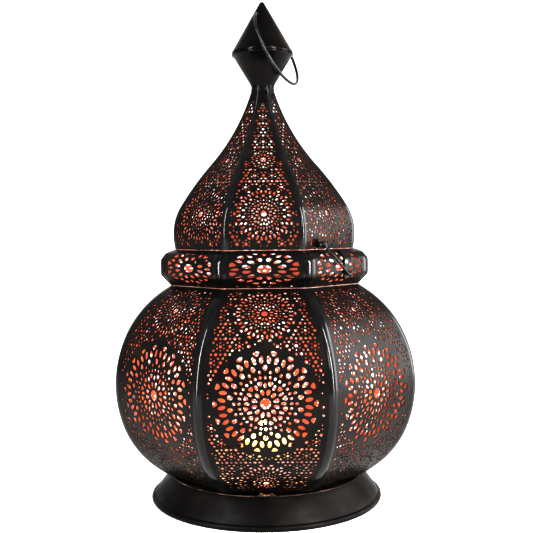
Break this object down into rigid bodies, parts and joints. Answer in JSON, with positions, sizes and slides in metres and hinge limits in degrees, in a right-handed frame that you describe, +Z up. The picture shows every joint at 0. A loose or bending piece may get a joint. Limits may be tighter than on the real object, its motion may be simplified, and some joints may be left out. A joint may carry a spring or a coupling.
{
  "type": "lantern",
  "caption": "Eight-sided pierced metal tealight lantern with a bulbous body, flared foot, hinged ogee dome lid, hook latch, double-cone finial and swinging ring handle.",
  "frame": {"origin": "centre of the foot's underside, on the lantern's axis", "axes": "+Z up the lantern's axis; -Y out of the middle of facet 1, the front; +X to the right seen from the front"},
  "size_m": [0.209, 0.209, 0.36],
  "materials": {
    "black_enamel": "black enamel outside, satin to gloss; the inner face of the pierced sheet is painted red-orange",
    "black_wire": "gloss black painted wire",
    "bare_steel": "plain steel, partly painted over",
    "candle_wax": "translucent cream wax",
    "wick_cotton": "charred cotton"
  },
  "bodies": {
    "lantern_body": {"base_foot": "black_enamel", "foot_plate": "black_enamel", "rim_wire": "bare_steel", "floor_plate": "black_enamel", "candle_cup": "black_enamel", "body_panel_1": "black_enamel", "body_panel_2": "black_enamel", "body_panel_3": "black_enamel", "body_panel_4": "black_enamel", "body_panel_5": "black_enamel", "body_panel_6": "black_enamel", "body_panel_7": "black_enamel", "body_panel_8": "black_enamel", "body_seams": "black_enamel", "collar_panel_1": "black_enamel", "collar_panel_2": "black_enamel", "collar_panel_3": "black_enamel", "collar_panel_4": "black_enamel", "collar_panel_5": "black_enamel", "collar_panel_6": "black_enamel", "collar_panel_7": "black_enamel", "collar_panel_8": "black_enamel", "collar_seams": "black_enamel", "hinge_collar_leaf": "black_enamel", "hinge_pin": "bare_steel", "hinge_collar_rivets": "bare_steel", "latch_keeper": "black_enamel", "latch_keeper_rivet": "bare_steel"},
    "lid": {"dome_panel_1": "black_enamel", "dome_panel_2": "black_enamel", "dome_panel_3": "black_enamel", "dome_panel_4": "black_enamel", "dome_panel_5": "black_enamel", "dome_panel_6": "black_enamel", "dome_panel_7": "black_enamel", "dome_panel_8": "black_enamel", "dome_seams": "black_enamel", "lid_rim_band": "black_enamel", "neck_plug": "black_enamel", "finial_lower_cone": "black_enamel", "finial_upper_cone": "black_enamel", "hinge_lid_leaf": "black_enamel", "hinge_lid_rivets": "bare_steel", "latch_bracket": "black_enamel", "latch_pin": "bare_steel"},
    "ring": {"ring_handle": "black_wire"},
    "hook": {"latch_hook": "black_wire"},
    "tealight": {"tealight_wax": "candle_wax", "wick_tab": "bare_steel", "tealight_wick": "wick_cotton"}
  },
  "joints": [
    {"name": "lid_hinge", "type": "hinge", "parent": "lantern_body", "child": "lid", "pos_m": [-0.04681, 0.04681, 0.1836], "axis": [-0.7071, -0.7071, 0], "range_deg": [0, 95]},
    {"name": "ring_swing", "type": "hinge", "parent": "lid", "child": "ring", "pos_m": [0, 0, 0.3507], "axis": [-0.3859, -0.9225, 0], "range_deg": [-11.5, 322.5]},
    {"name": "hook_swing", "type": "hinge", "parent": "lid", "child": "hook", "pos_m": [0.04002, -0.05558, 0.1858], "axis": [-0.7071, -0.7071, 0], "range_deg": [0, 140]},
    {"name": "tealight_lift", "type": "slide", "parent": "lantern_body", "child": "tealight", "axis": [0, 0, 1], "range_m": [0, 0.1]}
  ]
}
